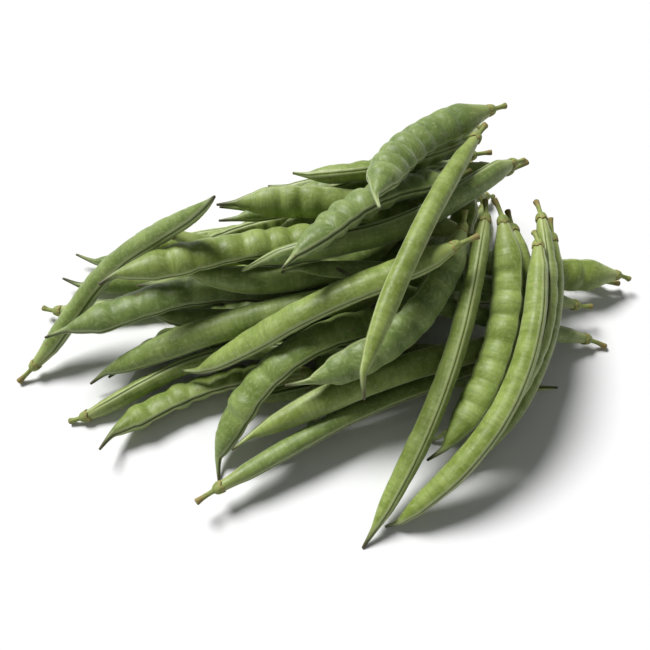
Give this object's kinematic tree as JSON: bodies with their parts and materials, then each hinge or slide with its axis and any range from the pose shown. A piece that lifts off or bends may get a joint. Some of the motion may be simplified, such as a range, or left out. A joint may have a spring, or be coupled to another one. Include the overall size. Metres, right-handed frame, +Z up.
{
  "type": "green bean bundle",
  "caption": "Loose bundle of freshly picked green bean pods lying in a low heap, stalk ends gathered to one side, tips fanned out.",
  "frame": {"origin": "middle of the heap's footprint, on the surface it lies on", "axes": "+X along the heap, towards the gathered stalk ends; +Y to the back; +Z up"},
  "size_m": [0.2188, 0.145, 0.068],
  "materials": {
    "pod_skin": "fresh bean pod skin: satin, mid green, paler yellowish green on the raised parts, with a dark seam line"
  },
  "bodies": {
    "root": {"pod_01": "pod_skin", "pod_02": "pod_skin", "pod_03": "pod_skin", "pod_04": "pod_skin", "pod_05": "pod_skin", "pod_06": "pod_skin", "pod_07": "pod_skin", "pod_08": "pod_skin", "pod_09": "pod_skin", "pod_10": "pod_skin", "pod_11": "pod_skin", "pod_12": "pod_skin", "pod_13": "pod_skin", "pod_14": "pod_skin", "pod_15": "pod_skin", "pod_16": "pod_skin", "pod_17": "pod_skin", "pod_18": "pod_skin", "pod_19": "pod_skin", "pod_20": "pod_skin", "pod_21": "pod_skin", "pod_22": "pod_skin", "pod_23": "pod_skin", "pod_24": "pod_skin", "pod_25": "pod_skin", "pod_26": "pod_skin", "pod_27": "pod_skin", "pod_28": "pod_skin", "pod_29": "pod_skin", "pod_30": "pod_skin", "pod_31": "pod_skin", "pod_32": "pod_skin", "pod_33": "pod_skin", "pod_34": "pod_skin", "pod_35": "pod_skin", "pod_36": "pod_skin", "pod_37": "pod_skin", "pod_38": "pod_skin", "pod_39": "pod_skin", "pod_40": "pod_skin", "pod_41": "pod_skin", "pod_42": "pod_skin", "pod_43": "pod_skin", "pod_44": "pod_skin", "pod_45": "pod_skin", "pod_46": "pod_skin", "pod_47": "pod_skin", "pod_48": "pod_skin", "pod_49": "pod_skin", "pod_50": "pod_skin", "pod_51": "pod_skin", "pod_52": "pod_skin", "pod_53": "pod_skin", "pod_54": "pod_skin"}
  },
  "joints": []
}
